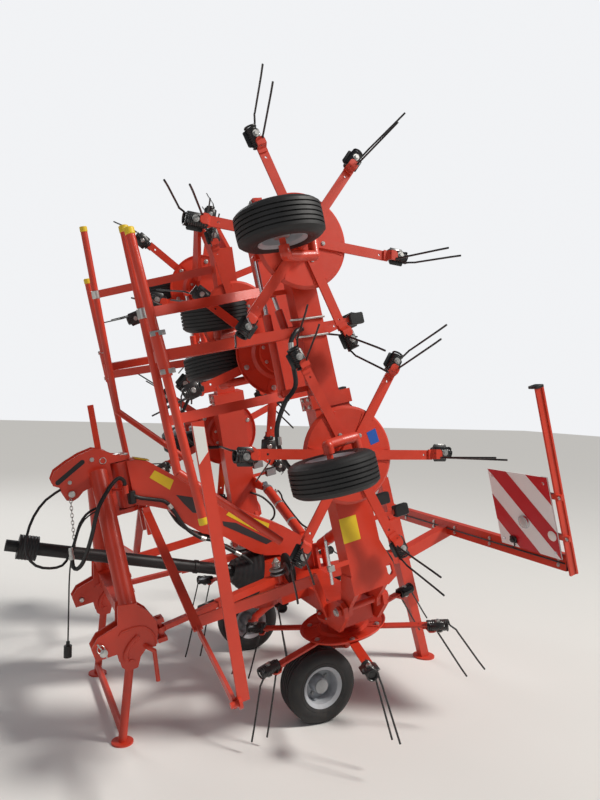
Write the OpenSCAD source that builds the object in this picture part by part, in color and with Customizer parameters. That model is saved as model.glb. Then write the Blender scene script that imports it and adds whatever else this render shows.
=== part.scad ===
/* [Rotors] */
// Distance between neighbouring rotor axes
rotor_pitch = 1090; // [1060:5:1150]
// Radius from a rotor's axis to the inner end of its tine holders
holder_radius = 486; // [470:1:490]
// Length of a tine holder along its arm
holder_length = 118; // [100:1:124]
// Diameter of a rotor's pressed disc
disc_dia = 490; // [450:2:540]
// Width of a rotor arm's flat bar
arm_width = 50; // [40:1:60]
// Thickness of a rotor arm
arm_thick = 10; // [8:0.5:14]
// Drop of the inner tine's tip below the rotor plane
tine_drop = 318; // [300:1:322]
// Outward reach of a tine's tip past its root
tine_flare = 152; // [130:1:156]
// Arms on each rotor
arm_count = 6; // [6:1:6]

/* [Wheels] */
// Outside diameter of the tyres
tyre_dia = 405; // [390:1:415]
// Width of the tyres
tyre_width = 166; // [150:1:172]
// Diameter of the wheel rims
rim_dia = 204; // [196:1:212]
// Diameter of the bent tube that carries a wheel
leg_tube_dia = 50; // [42:1:56]

/* [Frame] */
// Nose-down angle at which the machine parks
frame_tilt = 13.37; // [12.8:0.01:13.6]
// Distance of a wing hinge from the middle
hinge_a_y = 835; // [820:1:850]
// Height of a wing hinge above the rotor plane
hinge_a_w = 224; // [215:1:232]
// Angle by which the wings are folded up
fold_angle = 95.7; // [94:0.1:97]
// Distance of the near outer hinge beyond the axis of its wing's last rotor
near_hinge_out = 305; // [290:5:320]
// Distance of the far outer hinge beyond the axis of its wing's last rotor
far_hinge_out = 435; // [420:5:450]
// Height of an outer hinge above the rotor plane
hinge_b_w = 325; // [318:1:332]
// Width of the lower wing beam
beam_width = 200; // [180:2:210]
// Width of the upper wing beam
slim_beam_width = 136; // [120:2:146]

/* [Hitch] */
// Distance between the middles of the lower link clevises
link_span = 900; // [880:2:920]
// Diameter of the lower link holes
link_hole_dia = 28.6; // [25:0.1:32]
// Diameter of the top link hole
top_hole_dia = 25.8; // [24:0.1:32]
// Diameter of the headstock's leg tubes
leg_dia = 95; // [80:1:105]
// Diameter of the drive shaft's guard tube
shaft_dia = 70; // [62:1:78]

/* [Rear] */
// Height of the rear cross bar above the ground
bar_height = 910; // [890:5:930]
// Distance of the board uprights from the middle
upright_y = 1115; // [1090:5:1140]
// Width of the rear leg's square tube
leg_square = 60; // [56:1:62]
// Edge length of the square warning boards
board_size = 485; // [470:1:500]

/* [Hidden] */
shift_x = 139.941;
wheel_lead = 224;
wheel_drop = 248;
ct = cos(frame_tilt);
st = sin(frame_tilt);
base_z = tyre_dia / 2 + wheel_lead * st + wheel_drop * ct;
base_x = wheel_lead * ct - wheel_drop * st + 5 + shift_x;
rim_r = rim_dia / 2;
axle_r = 15;
axle_clear = 0.08;
post_r = 50;
pin_r = 18;
swivel_r = 30;
post_lean = 16.6;
orange = [0.83, 0.13, 0.03];
black = [0.03, 0.03, 0.035];
grey = [0.72, 0.73, 0.74];
steel = [0.55, 0.56, 0.57];
white = [0.9, 0.9, 0.9];
st_side = 0;
st_station = 1;
st_phase = 2;
st_lead = 3;
st_shift = 4;
st_leg = 5;
stations = [
    [-1, 0.5, 16.5, 0, 22, -1],
    [-1, 1.5, 13.5, 0, -38, 1],
    [-1, 2.5, 16.5, 0, 13, -1],
    [-1, 3.5, 13.5, 50, -20, 1],
    [1, 0.5, 46.5, 0, 22, -1],
    [1, 1.5, 43.5, 0, -38, 1],
    [1, 2.5, 46.5, 0, 13, -1],
    [1, 3.5, 40.5, 10, -55, 1]
];

supply_route = [
    [-1015, -140, 1265], [-1020, -143, 1290], [-1050, -165, 1310], [-1085, -205, 1293],
    [-1115, -240, 1262], [-1145, -270, 1220], [-1170, -290, 1175], [-1185, -295, 1115],
    [-1195, -290, 1050], [-1205, -280, 995], [-1215, -265, 945], [-1225, -245, 900],
    [-1237, -220, 860], [-1256, -195, 834], [-1274, -180, 843], [-1280, -175, 880]
];
loop_route = [
    [-1330, -35, 1240], [-1415, -70, 1185], [-1475, -110, 1105], [-1508, -160, 1010],
    [-1505, -190, 925], [-1460, -190, 865], [-1390, -165, 840], [-1325, -140, 845],
    [-1290, -120, 890], [-1270, -115, 945], [-1255, -115, 1005], [-1240, -115, 1060],
    [-1210, -110, 1105], [-1175, -105, 1130], [-1135, -100, 1145]
];
cable_route = [
    [-1140, -125, 1135], [-1180, -130, 1115], [-1220, -140, 1085], [-1245, -145, 1040],
    [-1258, -145, 990], [-1269, -145, 940], [-1279, -140, 885], [-1285, -135, 820],
    [-1286, -130, 735], [-1284, -127, 650], [-1282, -125, 545], [-1280, -125, 430]
];

cyl_qy = 415 * cos(fold_angle) - 111 * sin(fold_angle) + hinge_a_y - 100;
cyl_qw = 415 * sin(fold_angle) + 111 * cos(fold_angle) + hinge_a_w - 335;
cyl_angle = atan2(cyl_qw, cyl_qy);
cyl_len = norm([cyl_qy, cyl_qw]);

function wx(u, w) = base_x + u * ct - w * st;
function wz(u, w) = base_z + u * st + w * ct;
function shaft(u) = [u, 0, 273 - (u + 315) * 0.435];
function leg_x(z) = 1129 - z * 0.31406 + shift_x;
function unit(v) = v / norm(v);
function before(p, k) = p[max(k - 1, 0)];
function after(p, k) = p[min(k + 1, len(p) - 1)];
function heading(p, k) = unit(after(p, k) - before(p, k));
function side_way(p, k) = unit(cross(heading(p, k), [0, 1, 0]));
function ring_way(p, k, a) = cos(a) * side_way(p, k) + sin(a) * cross(heading(p, k), side_way(p, k));
function ring(p, k, r) = [for (j = [0:7]) p[k] + r * ring_way(p, k, j * 45)];
function cubic(a, b, c, d, t) = b + (c - a) * t / 2 + (2 * a - 5 * b + 4 * c - d) * t * t / 2
    + (3 * b - a - 3 * c + d) * t * t * t / 2;
function between(p, k, t) = cubic(before(p, k), p[k], after(p, k), p[min(k + 2, len(p) - 1)], t);
function halved(p) = [for (k = [0:2 * len(p) - 2]) between(p, floor(k / 2), (k % 2) / 2)];
loop_path = halved(loop_route);
cable_path = halved(cable_route);
function tube_end(k) = [for (j = [0:7]) k * 8 + j];
function tube_sides(n) = [for (k = [0:n - 2]) for (j = [0:7]) for (h = [0, 1])
    h == 0 ? [k * 8 + j, k * 8 + (j + 1) % 8, k * 8 + 8 + j]
           : [k * 8 + (j + 1) % 8, k * 8 + 8 + (j + 1) % 8, k * 8 + 8 + j]];
function hinge_b(s) = 2.5 * rotor_pitch + (s < 0 ? near_hinge_out : far_hinge_out);
function span(i) = stations[i][st_station] * rotor_pitch;
function side(i) = stations[i][st_side];

module machine() {
    translate([base_x, 0, base_z])
        rotate([0, -frame_tilt, 0])
            children();
}

module wing(s) {
    machine()
        translate([0, s * hinge_a_y, hinge_a_w])
            rotate([s * fold_angle, 0, 0])
                translate([0, -s * hinge_a_y, -hinge_a_w])
                    children();
}

module outer(s) {
    wing(s)
        translate([0, s * hinge_b(s), hinge_b_w])
            rotate([180, 0, 0])
                translate([0, -s * hinge_b(s), -hinge_b_w])
                    children();
}

module station(i) {
    if (stations[i][st_station] < 1) {
        machine()
            children();
    }
    if (stations[i][st_station] > 1 && stations[i][st_station] < 3) {
        wing(side(i))
            children();
    }
    if (stations[i][st_station] > 3) {
        outer(side(i))
            children();
    }
}

module strut(a, b, d, n = 24) {
    v = b - a;
    len = norm(v);
    translate(a)
        rotate([0, acos(v[2] / len), atan2(v[1], v[0])])
            cylinder(h = len, d = d, $fn = n);
}

module pipe(pts, d, n = 24) {
    for (k = [0:len(pts) - 2]) {
        strut(pts[k], pts[k + 1], d, n);
    }
    for (k = [1:len(pts) - 2]) {
        translate(pts[k])
            sphere(d = d * 1.03, $fn = n);
    }
}

module flat(a, b, wide, thick) {
    v = b - a;
    len = norm(v);
    translate(a)
        rotate([0, acos(v[2] / len), atan2(v[1], v[0])])
            translate([-wide / 2, -thick / 2, 0])
                cube([wide, thick, len]);
}

module cord(p, d) {
    n = len(p);
    translate([shift_x, 0, 0])
        polyhedron(points = [for (k = [0:n - 1]) for (q = ring(p, k, d / 2)) q],
                   faces = concat([[for (j = [7:-1:0]) j]], tube_sides(n), [tube_end(n - 1)]));
}

module gland(a, b, long, d) {
    translate([shift_x, 0, 0])
        strut(a, a + long * unit(a - b), d, 24);
}

module slab(pts, y0, y1) {
    translate([0, y1, 0])
        rotate([90, 0, 0])
            linear_extrude(height = y1 - y0)
                polygon(pts);
}

module cross_slab(pts, x0, x1) {
    translate([x0, 0, 0])
        rotate([90, 0, 90])
            linear_extrude(height = x1 - x0)
                polygon(pts);
}

module rotor_iron(i) {
    s = side(i);
    hub = post_r + axle_clear;
    color(orange)
        station(i)
            translate([0, s * span(i), 0])
                rotate([0, 0, -s * stations[i][st_phase]]) {
                    rotate_extrude($fn = 72)
                        polygon([[hub, -35], [80, -35], [80, -1], [disc_dia / 2 - 14, -1],
                                 [disc_dia / 2, 12], [disc_dia / 2 - 3, 18], [disc_dia / 2 - 18, 6],
                                 [150, 6], [130, 16], [86, 16], [86, 58], [hub, 58]]);
                    for (k = [0:arm_count - 1]) {
                        rotate([0, 0, k * 360 / arm_count])
                            translate([-holder_radius, -arm_width / 2, -arm_thick])
                                difference() {
                                    cube([holder_radius - 75, arm_width, arm_thick]);
                                    translate([52, arm_width / 2, -1])
                                        cylinder(h = arm_thick + 2, d = 13, $fn = 24);
                                }
                    }
                }
}

module tine_pair(t) {
    r = holder_radius;
    e = r + holder_length;
    translate([-e, t * 12, -5])
        rotate([0, 90, 0])
            cylinder(h = holder_length, d = 60, $fn = 28);
    translate([-e, t * 12, -5])
        rotate([0, 90, 0])
            cylinder(h = 14, d = 68, $fn = 28);
    translate([-e + 20, t * 12 - 46, 6])
        cube([holder_length - 36, 92, 14]);
    strut([-e + 6, -t * 15, 3], [-e - tine_flare + 6, -t * 27, 35 - tine_drop], 10, 8);
    strut([-r - 10, -t * 8, -22], [-r - tine_flare - 12, -t * 16, -tine_drop], 10, 8);
}

module rotor_tines(i) {
    s = side(i);
    color(black)
        station(i)
            translate([0, s * span(i), 0])
                rotate([0, 0, -s * stations[i][st_phase]])
                    for (k = [0:arm_count - 1]) {
                        rotate([0, 0, k * 360 / arm_count])
                            tine_pair(-s);
                    }
}

module at_wheel(i) {
    lead = wheel_lead + stations[i][st_lead];
    station(i)
        translate([-lead, side(i) * (span(i) + stations[i][st_shift]), -wheel_drop])
            rotate([90, 0, 0])
                children();
}

module tyre(i) {
    h = tyre_width / 2;
    r = tyre_dia / 2;
    color(black)
        at_wheel(i)
            rotate_extrude($fn = 64)
                polygon([[rim_r, -h + 22], [rim_r + 22, -h + 6], [r - 48, -h], [r - 14, -h + 12],
                         [r, -h + 42], [r, h - 42], [r - 14, h - 12], [r - 48, h],
                         [rim_r + 22, h - 6], [rim_r, h - 22]]);
}

module rim(i) {
    h = tyre_width / 2;
    color(grey)
        at_wheel(i)
            rotate_extrude($fn = 48)
                polygon([[rim_r, -h + 22], [rim_r + 14, -h + 11.8], [rim_r + 12, -h + 7],
                         [rim_r - 8, -h + 20], [rim_r - 14, -18], [48, -18], [40, -50],
                         [axle_r + axle_clear, -50],
                         [axle_r + axle_clear, 50], [40, 50], [48, -10], [rim_r - 14, -10],
                         [rim_r - 8, h - 20], [rim_r + 12, h - 7], [rim_r + 14, h - 11.8], [rim_r, h - 22]]);
}

module wheel_leg(i) {
    s = side(i);
    lead = -wheel_lead - stations[i][st_lead];
    z = -wheel_drop;
    y = span(i);
    yw = y + stations[i][st_shift];
    off = stations[i][st_leg] * (tyre_width / 2 + 45);
    station(i) {
        translate([0, s * y, -60])
            cylinder(h = 127, r = post_r, $fn = 48);
        translate([0, s * y, -60])
            cylinder(h = 18, d = 140, $fn = 40);
        translate([0, s * y, 64])
            cylinder(h = 16, d = 250, $fn = 56);
        pipe([[0, s * y, -50], [0, s * y, -108], [-24, s * (yw + off), -138],
              [-110, s * (yw + off), -160], [lead + 25, s * (yw + off), z + 48],
              [lead, s * (yw + off), z], [lead, s * (yw + off * 0.72), z]], leg_tube_dia);
        strut([lead, s * (yw + off), z], [lead, s * (yw - 42 * stations[i][st_leg]), z], 2 * axle_r, 32);
    }
}

module main_frame() {
    color(orange) {
        gearbox();
        wheel_leg(0);
        wheel_leg(4);
        machine() {
            translate([-90, -hinge_a_y + 75, 90])
                cube([180, 2 * hinge_a_y - 150, 115]);
            for (s = [-1, 1]) {
                translate([0, s * span(0), 80])
                    cylinder(h = 14, d = 270, $fn = 56);
                translate([-132, s * (hinge_a_y - 170) - 25, 86])
                    cube([264, 50, 125]);
                for (u = [-132, 106]) {
                    cross_slab([[s * (hinge_a_y - 170), 86], [s * (hinge_a_y - 60), 86],
                                [s * (hinge_a_y + 44), hinge_a_w - 32],
                                [s * (hinge_a_y + 44), hinge_a_w + 26],
                                [s * (hinge_a_y + 15), hinge_a_w + 46],
                                [s * (hinge_a_y - 30), hinge_a_w + 46],
                                [s * (hinge_a_y - 170), 211]], u, u + 26);
                }
                translate([-142, s * hinge_a_y, hinge_a_w])
                    rotate([0, 90, 0])
                        cylinder(h = 284, r = pin_r, $fn = 40);
                translate([-152, s * hinge_a_y, hinge_a_w])
                    rotate([0, 90, 0])
                        cylinder(h = 14, r = pin_r + 12, $fn = 6);
                translate([138, s * hinge_a_y, hinge_a_w])
                    rotate([0, 90, 0])
                        cylinder(h = 14, r = pin_r + 12, $fn = 6);
                for (u = [96, 154]) {
                    cross_slab([[s * 70, 150], [s * 130, 150], [s * 126, 335], [s * 74, 335]], u, u + 18);
                    translate([u, s * 100, 335])
                        rotate([0, 90, 0])
                            cylinder(h = 18, d = 52, $fn = 32);
                }
                translate([96, s * 100, 335])
                    rotate([0, 90, 0])
                        cylinder(h = 76, r = 12, $fn = 32);
                translate([85, s * 100 - 40, 140])
                    cube([90, 80, 62]);
                translate([-262, s * 300 - 42, 150])
                    cube([182, 84, 60]);
                translate([-240, s * 300, 205])
                    cylinder(h = 55, d = 60, $fn = 32);
                translate([-240, s * 300, 205])
                    cylinder(h = 130, d = 30, $fn = 32);
            }
        }
    }
}

module gearbox() {
    machine() {
        translate([-322, -105, 130])
            cube([192, 210, 208]);
        translate([-200, -105, 90])
            cube([115, 210, 110]);
        translate([-250, 0, 60])
            cylinder(h = 75, d = 190, $fn = 40);
        translate([-345, 0, 284])
            rotate([0, 90, 0])
                cylinder(h = 35, d = 110, $fn = 40);
        }
}

module neck() {
    color(orange)
        machine()
            difference() {
                union() {
                    slab([[-925, 890], [-925, 1140], [-880, 1140], [-807, 1112], [-727, 1040], [-615, 942],
                          [-529, 870], [-455, 793], [-237, 633], [-72, 523], [50, 415], [90, 340], [90, 205],
                          [-90, 205], [-125, 350], [-219, 374], [-290, 414], [-374, 487], [-451, 560],
                          [-579, 620], [-686, 721], [-746, 810], [-826, 850]], -76, 76);
                    translate([-950, 0, 880])
                        cylinder(h = 262, d = 120, $fn = 40);
                }
                translate([-950, 0, 800])
                    cylinder(h = 400, r = swivel_r + axle_clear, $fn = 40);
            }
}

module headstock_frame() {
    color(orange)
        hose_brackets();
    color(orange)
        machine() {
            for (m = [-1, 1]) {
                difference() {
                    slab([[-1334, 1130], [-1309, 1172], [-1240, 1206], [-1164, 1235], [-1086, 1250],
                          [-1047, 1236],
                          [-984, 1192], [-925, 1176], [-925, 1148], [-1014, 1148], [-1014, 850],
                          [-1085, 850], [-1085, 1000], [-1130, 1045], [-1182, 1030], [-1214, 1003],
                          [-1245, 992], [-1276, 1004], [-1290, 1040], [-1295, 1079], [-1328, 1098]],
                         m * 54 - 6, m * 54 + 6);
                    translate([-1245, 100, 1035])
                        rotate([90, 0, 0])
                            cylinder(h = 200, d = top_hole_dia, $fn = 40);
                    translate([-1048, 100, 1172])
                        rotate([90, 0, 0])
                            cylinder(h = 200, d = 30, $fn = 40);
                }
                strut([-1088, m * 90, 1120], [-1120, m * link_span / 2, 410], leg_dia, 40);
                for (n = [-1, 1]) {
                    difference() {
                        slab([[-1335, 329], [-1325, 262], [-1217, 262], [-1212, 190], [-1185, 160],
                              [-1135, 162], [-1112, 212], [-1079, 241], [-1028, 236], [-1004, 308],
                              [-1003, 362], [-1035, 427], [-1088, 484], [-1173, 500], [-1192, 402],
                              [-1296, 373]], m * link_span / 2 + n * 39 - 6, m * link_span / 2 + n * 39 + 6);
                        translate([-1283, m * link_span / 2 + 60, 299 + m])
                            rotate([90, 0, 0])
                                cylinder(h = 120, d = link_hole_dia, $fn = 48);
                    }
                }
                translate([-1160, m * link_span / 2 - 50, 200])
                    rotate([-90, 0, 0])
                        cylinder(h = 100, r = 14, $fn = 32);
                translate([-985, m * link_span / 2, 240])
                    cylinder(h = 130, r = 12, $fn = 32);
                translate([-1012, m * link_span / 2 - 34, 340])
                    cube([50, 68, 22]);
                translate([-1012, m * link_span / 2 - 34, 240])
                    cube([50, 68, 22]);
                pipe([[-1082, m * (link_span / 2 + 40), 262], [-1070, m * (link_span / 2 + 62), 250],
                      [-1044, m * (link_span / 2 + 62), 224],
                      [-1055, m * (link_span / 2 + 62), 66]], 22, 20);
            }
            translate([-1160, -link_span / 2 + 40, 360])
                cube([80, link_span - 80, 80]);
            for (w = [1148, 850]) {
                translate([-1085, -55, w])
                    cube([135, 110, 24]);
                translate([-950, 0, w])
                    cylinder(h = 24, d = 110, $fn = 40);
            }
            translate([-950, 0, 844])
                cylinder(h = 340, r = swivel_r, $fn = 40);
            translate([-1085, -60, 1106])
                cube([60, 120, 120]);
        }
}

module hose_brackets() {
    gland(supply_route[0], supply_route[1], 45, 34);
    gland(loop_path[0], loop_path[1], 30, 22);
    gland(loop_path[28], loop_path[27], 32, 22);
    gland(cable_path[0], cable_path[1], 38, 16);
    machine() {
        strut([-965, -138, 1000], [-1030, -56, 1000], 16, 24);
        translate([-1276, -50, 1068])
            cube([26, 28, 26]);
        translate([-1102, -150, 914])
            cube([20, 62, 44]);
    }
}

module supply_coupling() {
    color(black) {
        gland(supply_route[15], supply_route[14], 18, 32);
        gland(supply_route[15], supply_route[14], 62, 24);
    }
}

module light_plug() {
    color(black) {
        gland(cable_path[22], cable_path[21], 30, 20);
        gland(cable_path[22] + [0.4, 0, -22], cable_path[21] + [0.4, 0, -22], 62, 42);
    }
}

module front_stand() {
    px = wx(-1160, 200);
    pz = wz(-1160, 200);
    foot = px - 24;
    color(orange) {
        for (m = [-1, 1]) {
            difference() {
                union() {
                    strut([px, m * link_span / 2, pz], [foot, m * link_span / 2, 6], 44, 32);
                    translate([px, m * link_span / 2 + 25, pz])
                        rotate([90, 0, 0])
                            cylinder(h = 50, d = 62, $fn = 32);
                }
                translate([px, m * link_span / 2 + 60, pz])
                    rotate([90, 0, 0])
                        cylinder(h = 120, r = 14 + axle_clear, $fn = 32);
            }
            translate([foot, m * link_span / 2, 0])
                cylinder(h = 9, d = 110, $fn = 40);
        }
        strut([foot, -link_span / 2, 52], [foot, link_span / 2, 52], 38, 32);
    }
}

module drive_shaft() {
    color(black) {
        shaft_yoke();
        machine() {
            strut(shaft(-400), shaft(-1540), shaft_dia, 40);
            difference() {
                strut(shaft(-318), shaft(-430), 130, 40);
                translate([-345, -100, 150])
                    cube([60, 200, 240]);
            }
            strut(shaft(-1470), shaft(-1562), 130, 40);
        }
    }
}

module shaft_yoke() {
    machine()
        difference() {
            strut(shaft(-1555), shaft(-1620), 62, 40);
            strut(shaft(-1566), shaft(-1660), 35, 40);
        }
}

module stabiliser_sleeve(s) {
    v = [-745, s * (link_span / 2 - 300), 10];
    color(orange)
        machine()
            translate([-240, s * 300, 300])
                rotate([0, 0, atan2(v[1], v[0])])
                    difference() {
                        union() {
                            cylinder(h = 40, d = 62, center = true, $fn = 32);
                            translate([20, -26, -20])
                                cube([400, 52, 40]);
                        }
                        cylinder(h = 60, r = 15 + axle_clear, center = true, $fn = 32);
                        translate([60, -20, -14])
                            cube([400, 40, 28]);
                    }
}

module stabiliser_rod(s) {
    v = [-745, s * (link_span / 2 - 300), 0];
    l = norm(v);
    color(orange)
        machine()
            translate([-240, s * 300, 300])
                rotate([0, 0, atan2(v[1], v[0])])
                    difference() {
                        union() {
                            translate([180, -19.5, -13.5])
                                cube([l - 180 - 20, 39, 27]);
                            translate([l, 0, 0])
                                cylinder(h = 27, d = 62, center = true, $fn = 32);
                        }
                        translate([l, 0, 0])
                            cylinder(h = 60, d = 50, center = true, $fn = 32);
                    }
}

module centre_guard() {
    color(orange)
        machine()
            for (s = [-1, 1]) {
                difference() {
                    flat([-196, s * 705, 400], [-126, s * 668, 150], 50, 16);
                    translate([-132, s * 680 - 80, 60])
                        cube([100, 160, 400]);
                }
                flat([-870, s * 55, 840], [-860, s * 780, 362], 14, 46);
                flat([-860, s * 775, 362], [-930, s * 1500, 345], 46, 14);
                flat([-850, s * 705, 372], [-190, s * 705, 378], 55, 14);
                translate([-890, s * 70 - 12, 700])
                    cube([40, 24, 160]);
                translate([-950, s * 1500 - 8, 345])
                    rotate([0, 90, 0])
                        cylinder(h = 30, d = 24, $fn = 28);
            }
}

module guard_flap(s) {
    color(orange)
        machine()
            difference() {
                union() {
                    flat([-896, s * 1508, 345], [-869, s * 1508, 1420], 46, 12);
                    translate([-919, s * 1508, 345])
                        rotate([0, 90, 0])
                            cylinder(h = 12, d = 50, $fn = 32);
                }
                translate([-960, s * 1500, 345])
                    rotate([0, 90, 0])
                        cylinder(h = 100, r = 12 + axle_clear, $fn = 28);
            }
}

module at_cylinder(s) {
    machine()
        translate([134, s * 100, 335])
            rotate([s * cyl_angle, 0, 0])
                rotate([-s * 90, 0, 0])
                    children();
}

module fold_barrel(s) {
    color(orange)
        at_cylinder(s)
            difference() {
                union() {
                    translate([0, 0, 46])
                        cylinder(h = 566, d = 66, $fn = 36);
                    translate([-15, -16, 10])
                        cube([30, 32, 40]);
                    translate([-15, 0, 0])
                        rotate([0, 90, 0])
                            cylinder(h = 30, d = 50, $fn = 32);
                }
                translate([0, 0, 66])
                    cylinder(h = 560, d = 37, $fn = 36);
                translate([-20, 0, 0])
                    rotate([0, 90, 0])
                        cylinder(h = 40, r = 12 + axle_clear, $fn = 32);
            }
}

module fold_rod(s) {
    color(steel)
        at_cylinder(s)
            difference() {
                union() {
                    translate([0, 0, 72])
                        cylinder(h = cyl_len - 87, d = 36, $fn = 36);
                    translate([-15, 0, cyl_len])
                        rotate([0, 90, 0])
                            cylinder(h = 30, d = 58, $fn = 32);
                }
                translate([-20, 0, cyl_len])
                    rotate([0, 90, 0])
                        cylinder(h = 40, d = 26, $fn = 32);
            }
}

module wing_beam(s) {
    b = beam_width / 2;
    c = slim_beam_width / 2;
    i = s < 0 ? 0 : 4;
    color(orange) {
        wheel_leg(i + 1);
        wheel_leg(i + 2);
        wing_guard(s);
        wing(s) {
            cross_slab([[s * (hinge_a_y + 95), 82], [s * 1930, 82], [s * 1930, 192],
                        [s * (hinge_a_y + 95), 192]], -b + 8, b + 8);
            cross_slab([[s * 1925, 92], [s * (span(2) + 140), 92], [s * (span(2) + 140), 182],
                        [s * 1925, 182]], -c, c);
            cross_slab([[s * 1890, 74], [s * 1960, 74], [s * 1960, 205], [s * 1890, 205]],
                       -b - 6, b + 22);
            for (k = [1, 2]) {
                translate([0, s * span(k), 80])
                    cylinder(h = 14, d = 250, $fn = 56);
            }
            for (u = [-98, 74]) {
                difference() {
                    cross_slab([[s * (hinge_a_y - 24), hinge_a_w + 34],
                                [s * (hinge_a_y - 36), hinge_a_w - 18],
                                [s * (hinge_a_y + 10), hinge_a_w - 38], [s * (hinge_a_y + 95), 82],
                                [s * (hinge_a_y + 190), 82], [s * (hinge_a_y + 190), 192],
                                [s * (hinge_a_y + 40), hinge_a_w + 38]], u, u + 24);
                    translate([u - 1, s * hinge_a_y, hinge_a_w])
                        rotate([0, 90, 0])
                            cylinder(h = 26, r = pin_r + axle_clear, $fn = 40);
                }
            }
            translate([0, 0, 82])
                linear_extrude(height = 16)
                    difference() {
                        polygon([[104, s * (hinge_a_y + 340)], [158, s * (hinge_a_y + 190)],
                                 [160, s * (hinge_a_y + 120)], [104, s * (hinge_a_y + 92)]]);
                        translate([131, s * (hinge_a_y + 150)])
                            circle(r = 15, $fn = 28);
                        translate([128, s * (hinge_a_y + 185)])
                            circle(r = 15, $fn = 28);
                        translate([114.5, s * (hinge_a_y + 167.5) - 17.5])
                            square([30, 35]);
                    }
            cross_slab([[s * (hinge_a_y + 370), 185], [s * (hinge_a_y + 460), 185],
                        [s * (hinge_a_y + 440), 350],
                        [s * (hinge_a_y + 390), 350]], b + 2, b + 12);
            for (u = [-c - 12, c - 12]) {
                difference() {
                    cross_slab([[s * (span(2) + 60), 92], [s * (span(2) + 150), 92],
                                [s * (hinge_b(s) + 27), hinge_b_w - 22],
                                [s * (hinge_b(s) + 27), hinge_b_w + 20],
                                [s * (hinge_b(s) - 24), hinge_b_w + 34],
                                [s * (span(2) + 60), 182]], u, u + 24);
                    translate([u - 1, s * hinge_b(s), hinge_b_w])
                        rotate([0, 90, 0])
                            cylinder(h = 26, r = pin_r, $fn = 40);
                }
            }
            translate([-c - 20, s * hinge_b(s), hinge_b_w])
                rotate([0, 90, 0])
                    cylinder(h = 2 * c + 40, r = pin_r, $fn = 40);
        }
    }
}

module wing_guard(s) {
    wing(s) {
        translate([-812, s * 2290 - 25, 94])
            cube([812, 50, 60]);
        strut([-787, s * 2190, 90], [-796, s * 2395, 90], 56, 32);
        strut([-765, s * 1490, 90], [-812, s * 2890, 90], 42, 32);
    }
}

module outer_section(s) {
    color(orange) {
        outer_beam(s);
        outer_guard(s);
        wheel_leg(s < 0 ? 3 : 7);
    }
}

module outer_beam(s) {
    c = slim_beam_width / 2;
    outer(s) {
        cross_slab([[s * (hinge_b(s) + 190), 92], [s * 4095, 92], [s * 4095, 182],
                    [s * (hinge_b(s) + 190), 182]], -c, c);
        translate([0, s * span(3), 80])
            cylinder(h = 14, d = 250, $fn = 56);
        for (u = [-c + 13, c - 37]) {
            difference() {
                cross_slab([[s * (hinge_b(s) - 24), hinge_b_w + 28], [s * (hinge_b(s) - 28), hinge_b_w - 10],
                            [s * (hinge_b(s) - 6), hinge_b_w - 32], [s * (hinge_b(s) + 190), 92],
                            [s * (hinge_b(s) + 280), 100], [s * (hinge_b(s) + 280), 182],
                            [s * (hinge_b(s) + 40), hinge_b_w + 36]], u, u + 24);
                translate([u - 1, s * hinge_b(s), hinge_b_w])
                    rotate([0, 90, 0])
                        cylinder(h = 26, r = pin_r + axle_clear, $fn = 40);
            }
        }
    }
}

module outer_guard(s) {
    outer(s) {
        pipe([[-800, s * 3110, 400], [-800, s * 4320, 400], [-360, s * 4790, 400]], 42, 32);
        flat([-800, s * 3540, 400], [-40, s * 3475, 170], 14, 50);
        flat([-800, s * 4070, 400], [-40, s * 4066, 170], 14, 50);
    }
}

module at_post(s) {
    translate([1320 + shift_x, s * upright_y, bar_height - 25])
        rotate([0, -post_lean, 0])
            children();
}

module rear_frame() {
    x0 = wx(80, 140);
    z0 = wz(80, 140);
    slide = leg_square + 2 * axle_clear;
    color(orange) {
        difference() {
            union() {
                flat([x0, 0, z0], [leg_x(730) + 10, 0, 730], 80, 80);
                flat([leg_x(715) - 30, 0, 715], [1290 + shift_x, 0, bar_height - 18], 76, 76);
                flat([leg_x(395), 0, 395], [leg_x(990), 0, 990], 84, 84);
            }
            flat([leg_x(0), 0, 0], [leg_x(1300), 0, 1300], slide, slide);
            machine()
                translate([-100, -150, 0])
                    cube([190, 300, 400]);
        }
        machine()
            translate([90, -60, 96])
                cube([14, 120, 103]);
        translate([1265 + shift_x, -upright_y, bar_height - 45])
            cube([60, 2 * upright_y, 90]);
        for (s = [-1, 1]) {
            at_post(s) {
                translate([-10, -30, -30])
                    cube([12, 60, 1094]);
                translate([-50, s * 18 - 6, -30])
                    cube([48, 12, 1094]);
                for (z = [180, 420]) {
                    translate([-50, -s * 30 - 90, z])
                        cube([22, 180, 30]);
                }
            }
        }
    }
}

module boards() {
    color(white)
        for (s = [-1, 1]) {
            at_post(s)
                translate([-59, -s * (board_size / 2 + 12) - board_size / 2, 62])
                    cube([8, board_size, board_size]);
        }
}

module rear_leg() {
    color(orange) {
        flat([leg_x(9), 0, 9], [leg_x(1264), 0, 1264], leg_square, leg_square);
        translate([1129 + shift_x, 0, 0])
            cylinder(h = 10, d = 150, $fn = 40);
    }
}

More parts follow.
